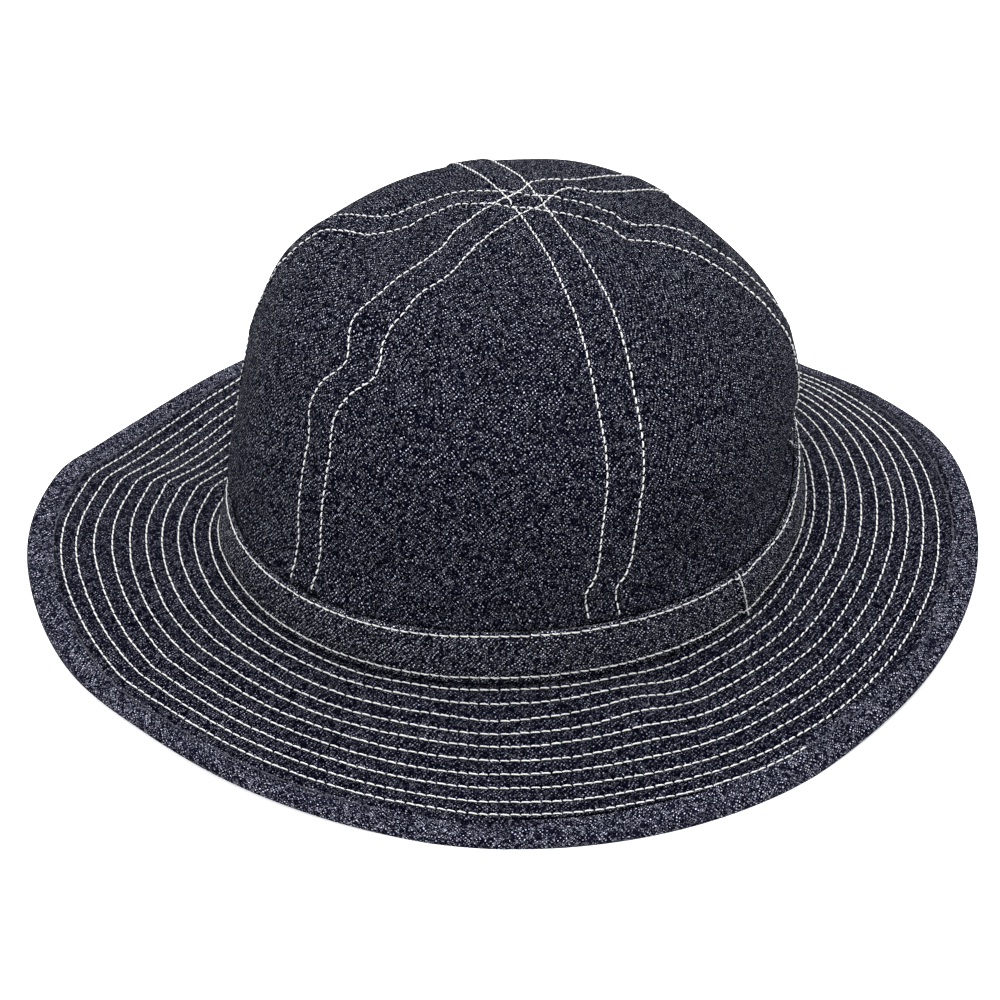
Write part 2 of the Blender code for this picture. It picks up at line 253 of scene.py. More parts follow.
def bell(value):
    """1 at 0, falling softly to both sides."""
    return np.exp(-value * value)


def apart(angle, other):
    """The angle between two directions, from -180 to 180 degrees."""
    return np.mod(angle - other + 180.0, 360.0) - 180.0


NOISE_ROWS = 512


def cloth_noise(angle, along, seed, steps):
    """Soft noise from -1 to 1, with some steps round the hat and one at each whole number along."""
    grid = np.random.default_rng(seed).uniform(-1.0, 1.0, (steps, NOISE_ROWS))
    across, along = np.broadcast_arrays(np.mod(angle, 360.0) / 360.0 * steps, np.asarray(along, float))
    column = np.floor(across).astype(int)
    row = np.floor(along).astype(int)
    x = smooth_step(across - column)
    y = smooth_step(along - row)
    left, right = column % steps, (column + 1) % steps
    low, high = row % NOISE_ROWS, (row + 1) % NOISE_ROWS
    return ((grid[left, low] * (1 - x) + grid[right, low] * x) * (1 - y)
            + (grid[left, high] * (1 - x) + grid[right, high] * x) * y)


def through(rows, place):
    """A smooth curve through rows, at a place counted from the first."""
    rows = np.asarray(rows, float)
    index = np.clip(np.floor(place).astype(int), 1, len(rows) - 3)
    part = (place - index)[..., None]
    a, b, c, d = (rows[index + step] for step in (-1, 0, 1, 2))
    slope_b = 0.5 * (c - a)
    slope_c = 0.5 * (d - b)
    cube = 2.0 * b - 2.0 * c + slope_b + slope_c
    square = -3.0 * b + 3.0 * c - 2.0 * slope_b - slope_c
    return ((cube * part + square) * part + slope_b) * part + b


def to_space(angle, radius, height):
    """Points from an angle, a radius and a height, in the frame's coordinates."""
    turn = np.radians(angle)
    points = np.stack([radius * np.sin(turn), -radius * np.cos(turn), height + 0.0 * radius], axis=-1)
    return points + AXIS


def outwards(angle):
    """Level directions away from the axis."""
    return to_space(angle, np.ones(np.shape(angle)), 0.0) - AXIS


def unit(vectors):
    """Vectors of length one."""
    return vectors / np.maximum(np.linalg.norm(vectors, axis=-1, keepdims=True), 1e-12)


def find_axis():
    """The hat's upright axis on the surface: the middle of the round band."""
    low, high = (np.array(corner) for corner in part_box("hat_band"))
    middle = 0.5 * (low + high)
    return np.array([middle[0], middle[1], 0.0])


# Brim

def station(angle):
    """lift, edge, hump and reach of the brim at an angle."""
    table = [row[1:] for row in BRIM_STATIONS]
    ring = table[-1:] + table + table[:2]
    spacing = 360.0 / len(table)
    return through(ring, np.mod(angle, 360.0) / spacing + 1.0)


def bells(angle, table):
    """The sum of soft bells round the hat, from rows of angle, spread and height."""
    total = np.zeros_like(np.asarray(angle, float))
    for middle, spread, height in table:
        total = total + height * bell(apart(angle, middle) / spread)
    return total


def head_radius(angle):
    """Radius of the band's outside at its foot."""
    return HEAD_RADIUS * (1.0 - bells(angle, HEAD_INSETS))


def band_lean(angle):
    """How far the band's top edge leans in."""
    return BAND_HEIGHT * bells(angle, BAND_LEANS)


def brim_reach(angle):
    """Run of the brim's edge."""
    return station(angle)[..., 3] * BRIM_WIDTH


def back_left(angle):
    """0 from the front over the right to the back, 1 at the left, and soft between."""
    return smooth_step((np.mod(angle, 360.0) - 195.0) / 30.0)


def band_foot(angle):
    """Height of the brim's top where it meets the band."""
    return SIT_HEIGHT + station(angle)[..., 0] * BRIM_WIDTH


def edge_depth():
    """Thickness of the bound edge."""
    return BRIM_TONGUE + 2.0 * (BINDING_CLOTH + CLEARANCE)


def brim_top(angle, run):
    """Radius and height of the brim's top at an angle, a run of cloth outwards from the band."""
    angle, run = np.broadcast_arrays(np.asarray(angle, float), np.asarray(run, float))
    lift, edge, hump, reach = np.moveaxis(station(angle), -1, 0)
    width = BRIM_WIDTH * reach
    start = SIT_HEIGHT + lift * BRIM_WIDTH
    end = edge * BRIM_WIDTH + edge_depth()
    fold = np.zeros_like(angle)
    share = run / width
    out = np.clip(share, 0.0, 1.0)
    for middle, spread, inner, outer in BRIM_FOLDS:
        crest = bell(apart(angle, middle) / spread)
        fold = fold + crest * (inner + (outer - inner) * out) * BRIM_WIDTH
    steps = 16
    radius = head_radius(angle)
    for step in range(steps):
        middle = share * (step + 0.5) / steps
        slope = (end - start) / width + hump * 4.0 * (1.0 - 2.0 * middle) * BRIM_WIDTH / width
        radius = radius + np.sqrt(1.0 - np.clip(slope, -0.9, 0.9) ** 2) * run / steps
    height = start + (end - start) * share + hump * BRIM_WIDTH * 4.0 * share * (1.0 - share)
    inside = run < 0.0
    radius = np.where(inside, head_radius(angle) + run, radius)
    height = np.where(inside, start, height + fold * smooth_step(share * 8.0))
    return radius, np.maximum(height, edge_depth())


EDGE_LEAST = 8.5 * MM      # least width of the bound edge outside the last row
WANDER = 0.22 * MM         # how far the rows stray by chance


def row_scale(angle):
    """How far the rows close up where the brim is narrow, at the back left."""
    return 1.0 - back_left(angle) * (1.0 - np.minimum(1.0, (brim_reach(angle) - EDGE_LEAST) / LAST_ROW))


def with_bumps(height, angle, row, table):
    """The height with a table's soft bumps added."""
    for middle, spread, level, rows, bump in table:
        height = height + bump * MM * bell(apart(angle, middle) / spread) * bell((row - level) / rows)
    return height


def row_run(angle, row):
    """Run of a stitch row at an angle; rows may be fractions between two."""
    wander = with_bumps(WANDER * cloth_noise(angle, row + 40.0, 11, 40), angle, row, ROW_DRIFTS)
    return (FIRST_ROW + ROW_SPACE * row) * row_scale(angle) + wander


def lip_run(angle):
    """Run of the binding's inner edge."""
    wide = brim_reach(angle) - BINDING_WIDTH
    return wide + back_left(angle) * np.maximum(0.0, LAST_ROW * row_scale(angle) + 2.0 * MM - wide)


def brim_skin(angle, run):
    """Points of the brim's top, without its stitching."""
    radius, height = brim_top(angle, run)
    return to_space(angle, radius, height)


def brim_normal(angle, run):
    """Upward directions of the brim's top."""
    turn, step = 0.4, 0.4 * MM
    around = brim_skin(angle + turn, run) - brim_skin(angle - turn, run)
    outward = brim_skin(angle, run + step) - brim_skin(angle, run - step)
    return unit(np.cross(outward, around))


SWELL = 0.34 * MM          # height of the cloth between two rows
SWELL_FLANK = 1.05 * MM
ROW_GROOVE = 0.16 * MM
RIPPLE = 0.10 * MM
BRIM_WAVE = 0.30 * MM


def brim_relief(angle, row):
    """Height of the quilted cloth over the brim's skin, at a place counted in rows."""
    between = np.abs(row - np.round(row))
    stitched = (row > -0.5) & (row < BRIM_ROWS - 0.5)
    near = np.where(stitched, between, np.abs(row - np.clip(row, 0, BRIM_ROWS - 1)))
    off = near * ROW_SPACE
    pucker = cloth_noise(angle, row + 60.0, 21, 150)
    ripple = cloth_noise(angle, row * 2.0 + 60.0, 22, 260)
    wave = cloth_noise(angle, row * 0.35 + 60.0, 23, 26)
    relief = SWELL * (1.0 - bell(off / SWELL_FLANK)) * (1.0 + 0.55 * pucker)
    relief = relief + RIPPLE * ripple * bell((off - 0.9 * MM) / (1.2 * MM))
    relief = relief - ROW_GROOVE * bell(off / (0.5 * MM))
    return with_bumps(relief, angle, row, BRIM_BUMPS) + BRIM_WAVE * wave


BAND_DIP = 0.75 * MM       # depth of the brim's crease beside the band


def brim_face(angle, row):
    """Points of the brim's quilted top."""
    run = row_run(angle, row)
    skin = brim_skin(angle, run)
    fade = smooth_step((run + 1.5 * MM) / (3.0 * MM))
    gap = 0.35 + 0.65 * smooth_step((72.0 - np.abs(apart(angle, -60.0))) / 12.0)
    dip = -BAND_DIP * gap * bell((run - 0.2 * MM) / (1.1 * MM))
    return skin + brim_normal(angle, run) * (brim_relief(angle, row) * fade + dip)[..., None]


# Crown

def throat(angle):
    """Outer radius of the crown's foot inside the band."""
    return head_radius(angle) - BAND_CLOTH - CROWN_GAP


def crown_row(share):
    """Rise and four reaches of the crown at a share."""
    first = 1.0 - (BAND_CLOTH + CROWN_GAP) / HEAD_RADIUS
    table = [(0.0, first, first, first, first)] + list(CROWN_SECTIONS) + [(1.0, 0.0, 0.0, 0.0, 0.0)]
    below = (-table[1][0],) + (first,) * 4
    beyond = (table[-2][0],) + tuple(-reach for reach in table[-2][1:])
    last = len(table) - 1
    return through([below] + table + [beyond], np.asarray(share, float) * last + 1.0)


def crown_skin(angle, share):
    """Points of the crown's outside, without its seams."""
    angle, share = np.broadcast_arrays(np.asarray(angle, float), np.asarray(share, float))
    rise, front, right, back, left = np.moveaxis(crown_row(share), -1, 0)
    turn = np.radians(angle)
    along = np.where(np.cos(turn) > 0.0, front, back) * np.cos(turn)
    across = np.where(np.sin(turn) > 0.0, right, left) * np.sin(turn)
    reach = np.hypot(along, across)
    for middle, level, spread, height, depth in CROWN_DENTS:
        dent = bell(apart(angle, middle) / spread) * bell((rise - level) / height)
        reach = reach + depth * dent * smooth_step(share * 10.0)
    radius = reach * HEAD_RADIUS - (HEAD_RADIUS - head_radius(angle)) * (1.0 - smooth_step(share * 3.0))
    radius = radius - band_lean(angle) * (1.0 - smooth_step(share * 9.0))
    points = to_space(angle, radius, 0.0 * rise) - AXIS
    side = points[..., 0] / HEAD_RADIUS
    rear = points[..., 1] / HEAD_RADIUS
    fall = CROWN_LEAN["fall_right"] * side + CROWN_LEAN["fall_back"] * rear
    base = SIT_HEIGHT + BAND_HEIGHT + (band_foot(angle) - SIT_HEIGHT) * (1.0 - rise)
    points[..., 0] += CROWN_LEAN["right"] * CROWN_HEIGHT * rise
    points[..., 1] += CROWN_LEAN["back"] * CROWN_HEIGHT * rise
    points[..., 2] = base + CROWN_HEIGHT * rise * (1.0 - fall)
    near_top = smooth_step((share - 0.80) / 0.20)
    points[..., 0] += TOP_SHIFT[0] * near_top
    points[..., 1] += TOP_SHIFT[1] * near_top
    return points + AXIS


def crown_top():
    """The middle of the crown's top."""
    return crown_skin(np.zeros(1), np.ones(1))[0]


def crown_normal(angle, share):
    """Outward directions of the crown."""
    turn, step = 0.5, 0.004
    share = np.clip(share, 2.0 * step, 1.0 - 2.0 * step)
    around = crown_skin(angle + turn, share) - crown_skin(angle - turn, share)
    upward = crown_skin(angle, share + step) - crown_skin(angle, share - step)
    return unit(np.cross(around, upward))


def seam_angle(seam, share):
    """Angle of a seam's middle line."""
    row = crown_row(share)
    stray = np.zeros_like(np.asarray(share, float))
    for place, level, height, shift in SEAM_SHIFTS:
        if place == seam:
            stray = stray + shift * bell((row[..., 0] - level) / height)
    reach = np.maximum(row[..., 1:].mean(axis=-1), 0.3) * HEAD_RADIUS
    return SEAM_ANGLES[seam] + np.degrees(stray * SEAM_WIDTH / reach)


def seam_row_offset(seam, from_top):
    """Distance of a seam's stitch rows from its middle line, at a distance from the crown's top."""
    return SEAM_ROW_TOP + (SEAM_ROWS[seam] - SEAM_ROW_TOP) * smooth_step(from_top / 0.060)


SEAM_RISE = 0.85 * MM
SEAM_GROOVE = 0.42 * MM
SEAM_PUCKER = 0.26 * MM
CROWN_WAVE = 0.34 * MM
CROWN_DRAPE = 0.60 * MM
CROWN_PATH = 0.150         # length of cloth from the band to the top


def crown_relief(points, angle, share):
    """Height of the seams, stitch grooves and puckers over the crown's skin."""
    from_top = np.linalg.norm(points - crown_top(), axis=-1)
    raised = np.zeros_like(from_top)
    groove = np.zeros_like(from_top)
    pull = np.zeros_like(from_top)
    for seam in range(len(SEAM_ANGLES)):
        half = seam_row_offset(seam, from_top)
        turn = apart(angle, seam_angle(seam, share))
        side = from_top * np.sin(np.radians(np.clip(turn, -90.0, 90.0)))
        ahead = np.cos(np.radians(turn)) > -0.2
        fold = smooth_step((half + 1.5 * MM - side) / (0.5 * MM))
        crease = smooth_step((side + half + 1.3 * MM) / (1.6 * MM))
        raised = np.maximum(raised, np.where(ahead, fold * crease, 0.0))
        row = np.abs(np.abs(side) - half)
        groove = np.maximum(groove, np.where(ahead, bell(row / (0.7 * MM)), 0.0))
        pull = np.maximum(pull, np.where(ahead, bell(row / (3.2 * MM)), 0.0))
    length = share * CROWN_PATH
    pucker = cloth_noise(angle, length / (3.4 * MM), 31, 70)
    wave = cloth_noise(angle, length / (15.0 * MM), 32, 22)
    drape = cloth_noise(angle, length / (34.0 * MM), 33, 9)
    relief = SEAM_RISE * raised - SEAM_GROOVE * groove + SEAM_PUCKER * pucker * pull
    for middle, level, spread, height, depth in CROWN_FOLDS:
        relief = relief + depth * MM * bell(apart(angle, middle) / spread) * bell((share - level) / height)
    return smooth_step(share * 12.0) * (relief + CROWN_WAVE * wave + CROWN_DRAPE * drape)


def crown_face(angle, share):
    """Points of the crown's outside with its seams."""
    angle, share = np.broadcast_arrays(np.asarray(angle, float), np.asarray(share, float))
    skin = crown_skin(angle, share)
    return skin + crown_normal(angle, share) * crown_relief(skin, angle, share)[..., None]


# Meshes

def new_object(name, data):
    """An object in the scene."""
    made = bpy.data.objects.new(name, data)
    bpy.context.scene.collection.objects.link(made)
    return made


def mesh_piece(name, points, quads, corner_uvs, material, nodes=()):
    """A smooth mesh object with its cloth coordinates, in metres of cloth."""
    mesh = bpy.data.meshes.new(name)
    mesh.vertices.add(points.size // 3)
    mesh.vertices.foreach_set("co", points.astype(np.float32).ravel())
    mesh.loops.add(quads.size)
    mesh.loops.foreach_set("vertex_index", quads.astype(np.int32).ravel())
    mesh.polygons.add(len(quads))
    mesh.polygons.foreach_set("loop_start", np.arange(0, quads.size, 4, dtype=np.int32))
    layer = mesh.uv_layers.new(name="cloth")
    layer.data.foreach_set("uv", corner_uvs.astype(np.float32).ravel())
    mesh.update(calc_edges=True)
    mesh.validate()
    mesh.shade_smooth()
    mesh.materials.append(material)
    piece = new_object(name, mesh)
    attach(piece, "root")
    if nodes:
        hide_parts(*nodes)
    return piece


def closed(grid):
    """A grid with its first row and its first column again at the end."""
    grid = np.concatenate([grid, grid[:1]])
    return np.concatenate([grid, grid[:, :1]], axis=1)


def corner_grid(grid):
    """The four corners of each cell of a grid."""
    corners = (grid[:-1, :-1], grid[:-1, 1:], grid[1:, 1:], grid[1:, :-1])
    return np.stack(corners, axis=2).reshape(-1, 4, *grid.shape[2:])


def ring_quads(points):
    """Quads of a grid of points that closes round the hat and round its section."""
    return corner_grid(closed(np.arange(points[..., 0].size).reshape(points.shape[:2])))


def strip_uvs(along, across):
    """Corner coordinates of a strip of cloth, from the places of its columns and of its rows."""
    return corner_grid(np.stack(np.broadcast_arrays(along[None, :], across[:, None]), axis=-1))


def path_lengths(points):
    """The length up to each point of a path, or its mean over several paths side by side."""
    steps = np.linalg.norm(np.diff(points, axis=0), axis=-1)
    return np.concatenate([[0.0], np.cumsum(steps.reshape(len(steps), -1).mean(axis=1))])


def spin_grid(columns):
    """Angles of the columns."""
    return np.arange(columns) * 360.0 / columns


# Pieces of cloth

BRIM_COLUMNS = 900
ROW_LINES = (-0.27, -0.17, -0.08, 0.0, 0.08, 0.17, 0.27, 0.5)   # lines round each row, in row spaces
UNDER_LINES = 16           # lines of the brim's underside
BRIM_FLOOR = 1.2 * MM      # least height of the brim's underside, over the binding's


def build_brim(material):
    """The quilted brim: its top, its edge inside the binding and its plain underside."""
    angles = spin_grid(BRIM_COLUMNS)
    lines = [-1.2, -0.8, -0.5, -0.36]
    lines += [row + step for row in range(BRIM_ROWS) for step in ROW_LINES]
    top = np.array(lines)[:, None] + 0.0 * angles
    inner = (lip_run(angles) + 2.0 * MM) / (ROW_SPACE * row_scale(angles)) - FIRST_ROW / ROW_SPACE
    top = np.minimum(top, inner[None, :])
    points = brim_face(angles[None, :], top)
    points[0, :, 2] -= 0.3 * MM
    tip = lip_run(angles) + 2.4 * MM
    under = []
    for share in np.linspace(1.0, -0.055, UNDER_LINES):
        skin = brim_skin(angles, share * tip)
        cloth = BRIM_CLOTH * (0.75 if share == 1.0 else 1.0)
        skin[..., 2] = np.maximum(skin[..., 2] - cloth, BRIM_FLOOR)
        under.append(skin)
    points = np.concatenate([points, np.array(under)])
    mesh_piece("brim_cloth", points, ring_quads(points), corner_grid(closed(points[..., :2])), material,
               ("brim",))


BINDING_COLUMNS = 1080
BINDING_PROFILE = (
    # share of the strip outwards from its inner edge, rise over the brim in millimetres
    (0.0, -0.95),
    (0.02, -0.35),
    (0.06, 0.16),
    (0.12, 0.26),
    (0.18, 0.28),
    (0.24, 0.32),
    (0.32, 0.38),
    (0.42, 0.42),
    (0.52, 0.45),
    (0.62, 0.45),
    (0.72, 0.38),
    (0.82, 0.22),
    (0.90, 0.0),
    (0.955, -0.32),
)
NOSE = BINDING_PROFILE[-1][0]
NOSE_STEPS = 7
BINDING_GROOVE = 0.34 * MM


def groove_run(angle):
    """Run of the stitch row that holds the binding: the last row, or one further out at the left."""
    return np.maximum(row_run(angle, BRIM_ROWS - 1.0), lip_run(angle) + 1.2 * MM)


def binding_rise(angle, run):
    """Height of the binding's top over the brim's skin."""
    lip = lip_run(angle)
    share = (run - lip) / (brim_reach(angle) - lip)
    table = np.array(BINDING_PROFILE)
    rough = cloth_noise(angle, share * 7.0 + 3.0, 41, 330)
    slow = cloth_noise(angle, share * 3.0 + 3.0, 42, 70)
    pucker = cloth_noise(angle, 2.0, 43, 150)
    inside = smooth_step(share * 9.0)
    rise = np.interp(share, table[:, 0], table[:, 1]) * MM + (0.10 * rough + 0.16 * slow) * MM * inside
    off = np.abs(run - groove_run(angle))
    rise = rise - BINDING_GROOVE * bell(off / (0.55 * MM)) * inside
    return rise + 0.16 * MM * pucker * bell((off - 1.2 * MM) / (1.2 * MM)) * inside


def build_binding(material):
    """The strip folded round the brim's edge, with a puffed inner edge and a worn nose."""
    angles = spin_grid(BINDING_COLUMNS)
    lip = lip_run(angles)
    reach = brim_reach(angles)
    depth = edge_depth()
    outer = []
    shares = sorted([share for share, rise in BINDING_PROFILE] + [0.09, 0.15, 0.21, 0.28, 0.37])
    for share in shares:
        run = lip + (reach - lip) * share
        rise = binding_rise(angles, run)
        outer.append(brim_skin(angles, run) + brim_normal(angles, run) * rise[:, None])
    nose_run = lip + (reach - lip) * NOSE
    half = 0.5 * (depth - 0.4 * MM)
    middle = brim_skin(angles, nose_run)[..., 2] + BINDING_PROFILE[-1][1] * MM - half
    for step in range(1, NOSE_STEPS):
        bend = math.pi * step / NOSE_STEPS
        skin = brim_skin(angles, nose_run + (reach - nose_run) * math.sin(bend))
        skin[..., 2] = middle + half * math.cos(bend)
        outer.append(skin)
    under = [(share, 0.0) for share in (NOSE, 0.8, 0.6, 0.4, 0.2, 0.0)]
    under += [(share, BINDING_CLOTH) for share in (0.02, 0.5, 0.9)]
    for share, lift in under:
        skin = brim_skin(angles, lip + (reach - lip) * share)
        skin[..., 2] = np.maximum(skin[..., 2] - depth, 0.0) + lift
        outer.append(skin)
    for share in (0.9, 0.5, 0.02):
        skin = brim_skin(angles, lip + (reach - lip) * share)
        skin[..., 2] += BINDING_PROFILE[0][1] * MM
        outer.append(skin)
    points = np.array(outer)
    along = np.linspace(0.0, 2.0 * math.pi * (HEAD_RADIUS + BRIM_WIDTH), BINDING_COLUMNS + 1)
    across = path_lengths(np.concatenate([points, points[:1]]))
    mesh_piece("edge_binding", points, ring_quads(points), strip_uvs(along, across), material,
               ("brim_binding",))


BAND_COLUMNS = 860
# Rises of the band's lines, in millimetres, closer at its edges and rows
BAND_LINES = (0.0, 0.3, 0.8, 1.4, 1.9, 2.3, 2.6, 2.9, 3.3, 4.0, 5.2, 6.6, 8.0, 9.4, 10.8, 12.2, 13.6, 15.0,
              16.1, 16.7, 17.1, 17.4, 17.7, 18.1, 18.4)
BAND_BACK = (
    # rise and depth behind the band's outside, and place across the cloth, all in millimetres
    (18.5, 1.0, 19.5),
    (18.2, 1.55, 20.0),
    (12.0, 1.6, 26.0),
    (6.0, 1.6, 32.0),
    (0.2, 1.55, 38.0),
    (-0.1, 1.2, 39.0),
)
BAND_ROUNDING = ((0, -0.75), (1, -0.25), (-2, -0.12), (-1, -0.45))   # lines of the rolled edges
JOINT_FOLD = 1.25          # degrees from the joint's fold to its stitches
JOINT_RISE = 1.05 * MM     # height of the overlap over the band


def joint_angle(rise):
    """Angle of the joint's slanting stitch row."""
    return BAND_JOINT + 1.4 - 3.6 * np.asarray(rise) / BAND_HEIGHT


def band_skin(angle, rise):
    """Points of the band's outside, a rise above its foot."""
    puff = 0.25 * MM * bell((rise - 0.5 * BAND_HEIGHT) / (5.5 * MM))
    for row, groove in zip(BAND_ROWS, BAND_GROOVES):
        puff = puff - groove * bell((rise - row) / (0.6 * MM))
    pucker = cloth_noise(angle, rise / (3.0 * MM) + 5.0, 51, 150)
    wave = cloth_noise(angle, rise / (12.0 * MM) + 5.0, 52, 34)
    near = sum(bell((rise - row) / (3.0 * MM)) for row in BAND_ROWS)
    radius = head_radius(angle) - band_lean(angle) * rise / BAND_HEIGHT
    radius = radius + puff + 0.12 * MM * pucker * near + 0.22 * MM * wave
    past = apart(angle, joint_angle(rise))
    lap = math.degrees(BAND_LAP / HEAD_RADIUS)
    fold = smooth_step((past + JOINT_FOLD) / 0.45) * smooth_step((lap - past) / lap)
    radius = radius + JOINT_RISE * fold - 0.30 * MM * bell((past + JOINT_FOLD + 0.25) / 0.35)
    radius = radius - 0.30 * MM * bell(past / 0.45)
    droop = 0.25 * MM * cloth_noise(angle, 3.0, 53, 20) * smooth_step(rise / BAND_HEIGHT)
    return to_space(angle, radius, band_foot(angle) + rise + droop)


def build_band(material):
    """The band: outside with rolled edges and stitch grooves, and a plain inside."""
    angles = spin_grid(BAND_COLUMNS)
    outer = [band_skin(angles, rise * MM) for rise in BAND_LINES]
    for place, inset in BAND_ROUNDING:
        outer[place] = outer[place] + outwards(angles) * inset * MM
    for rise, inset, place in BAND_BACK:
        radius = head_radius(angles) - band_lean(angles) * rise * MM / BAND_HEIGHT - inset * MM
        outer.append(to_space(angles, radius, band_foot(angles) + rise * MM))
    points = np.array(outer)
    along = np.linspace(0.0, 2.0 * math.pi * HEAD_RADIUS, BAND_COLUMNS + 1)
    across = np.array(BAND_LINES + tuple(row[2] for row in BAND_BACK) + (40.0,)) * MM
    mesh_piece("band_strip", points, ring_quads(points), strip_uvs(along, across), material,
               ("hat_band",))


CROWN_ROWS = 150
CROWN_SEAM_STEP = 0.55     # degrees between columns near a seam
CROWN_SEAM_SPAN = 6.0      # degrees to each side of a seam with close columns
CROWN_STEP = 0.95          # degrees between the other columns
CROWN_INSIDE = 18          # lines of the crown's inside
PANEL_PITCH = 0.31         # space between two panels' cloth coordinates


def panel_turn(seam):
    """Degrees from a seam to the next."""
    return (SEAM_ANGLES[(seam + 1) % 6] - SEAM_ANGLES[seam]) % 360.0


def crown_columns():
    """Angles of the columns, closer beside each seam."""
    near = np.arange(-CROWN_SEAM_SPAN, CROWN_SEAM_SPAN + 0.01, CROWN_SEAM_STEP)
    columns = []
    for seam, angle in enumerate(SEAM_ANGLES):
        ahead = panel_turn(seam)
        columns += list(angle + near)
        count = int((ahead - 2.0 * CROWN_SEAM_SPAN) / CROWN_STEP)
        between_seams = np.linspace(angle + CROWN_SEAM_SPAN, angle + ahead - CROWN_SEAM_SPAN, count + 1)
        columns += list(between_seams[1:-1])
    return np.array(columns)


def crown_shares(count):
    """Shares with even steps of cloth, from the foot to the top."""
    fine = np.linspace(0.0, 1.0, 400)
    lengths = []
    for angle in (0.0, 90.0, 180.0, 270.0):
        lengths.append(path_lengths(crown_skin(angle, fine)))
    length = np.mean(lengths, axis=0)
    return np.interp(np.linspace(0.0, length[-1], count + 1), length, fine)


def build_crown(material):
    """The crown: one skin with its raised seams, and a plain inside."""
    angles = crown_columns()
    shares = crown_shares(CROWN_ROWS)[:-1]
    grid_angles = np.broadcast_to(angles[None, :], (len(shares), len(angles)))
    grid_shares = np.broadcast_to(shares[:, None], grid_angles.shape)
    bend = np.zeros(grid_angles.shape)
    for seam in range(len(SEAM_ANGLES)):
        stray = seam_angle(seam, shares)[:, None] - SEAM_ANGLES[seam]
        bend = bend + stray * bell(apart(grid_angles, SEAM_ANGLES[seam]) / 16.0)
    grid_angles = grid_angles + bend
    outer = crown_face(grid_angles, grid_shares)
    foot_angle = grid_angles[:1]
    foot = to_space(foot_angle, throat(foot_angle), band_foot(foot_angle) + CLEARANCE)
    cap = outer[-1].mean(axis=0)
    tip = cap + 0.02 * (outer[-1] - cap)
    inner = []
    for share in np.linspace(0.985, 0.0, CROWN_INSIDE):
        level = np.full(angles.shape, share)
        inner.append(crown_skin(angles, level) - crown_normal(angles, level) * CROWN_CLOTH)
    inner_foot = foot[0] + (inner[-1] - crown_skin(angles, np.zeros(angles.shape)))
    low_cap = cap - np.array([0.0, 0.0, CROWN_CLOTH + 1.0 * MM])
    inner_tip = low_cap + 0.02 * (inner[0] - low_cap)
    points = np.concatenate([foot, outer, tip[None], inner_tip[None], np.array(inner), inner_foot[None]])
    along = path_lengths(points[:, ::40])
    along = np.append(along, along[-1] + CROWN_CLOTH)
    panel = np.zeros(len(angles), dtype=int)
    for seam, start in enumerate(SEAM_ANGLES):
        panel[np.mod(angles - start - 3.0, 360.0) < panel_turn(seam)] = seam
    middle = np.array([start + 0.5 * panel_turn(seam) for seam, start in enumerate(SEAM_ANGLES)])
    reach = np.linalg.norm((points - points.mean(axis=1, keepdims=True))[..., :2], axis=-1)
    reach = np.concatenate([reach, reach[:1]])
    up = np.broadcast_to(along[:, None], reach.shape)
    sides = []
    for shift in (0, -1):
        turn = np.radians(apart(np.roll(angles, shift), middle[panel]))
        side = np.roll(reach, shift, axis=1) * turn + PANEL_PITCH * panel
        sides.append(np.stack([side, up], axis=-1))
    left, right = sides
    corners = np.stack([left[:-1], right[:-1], right[1:], left[1:]], axis=2).reshape(-1, 4, 2)
    names = ["crown_panel_" + side for side in
             ("front", "front_right", "back_right", "back", "back_left", "front_left")]
    return mesh_piece("crown_cloth", points, ring_quads(points), corners, material, names)


# Stitches

def path_of(points, normals):
    """A row's route: its points, their upward directions and the length up to each."""
    return points, unit(normals), path_lengths(points)


def between(route, places, loop):
    """Points and directions of a route at the given lengths; past its end a loop starts again."""
    points, normals, lengths = route
    flat = (np.mod(places, lengths[-1]) if loop else places).ravel()
    found = [np.interp(flat, lengths, column) for column in points.T]
    facing = [np.interp(flat, lengths, column) for column in normals.T]
    return (np.stack(found, axis=-1).reshape(*places.shape, 3),
            unit(np.stack(facing, axis=-1)).reshape(*places.shape, 3))


SECTION_SIDES = 6
STITCH_SHAPE = (
    # along, height, width: shares of the stitch's visible length, of THREAD and of THREAD
    (-0.02, -0.75, 0.55),
    (0.05, -0.10, 0.88),
    (0.16, 0.26, 1.00),
    (0.34, 0.40, 1.04),
    (0.50, 0.44, 1.04),
    (0.66, 0.40, 1.04),
    (0.84, 0.26, 1.00),
    (0.95, -0.10, 0.88),
    (1.02, -0.75, 0.55),
)


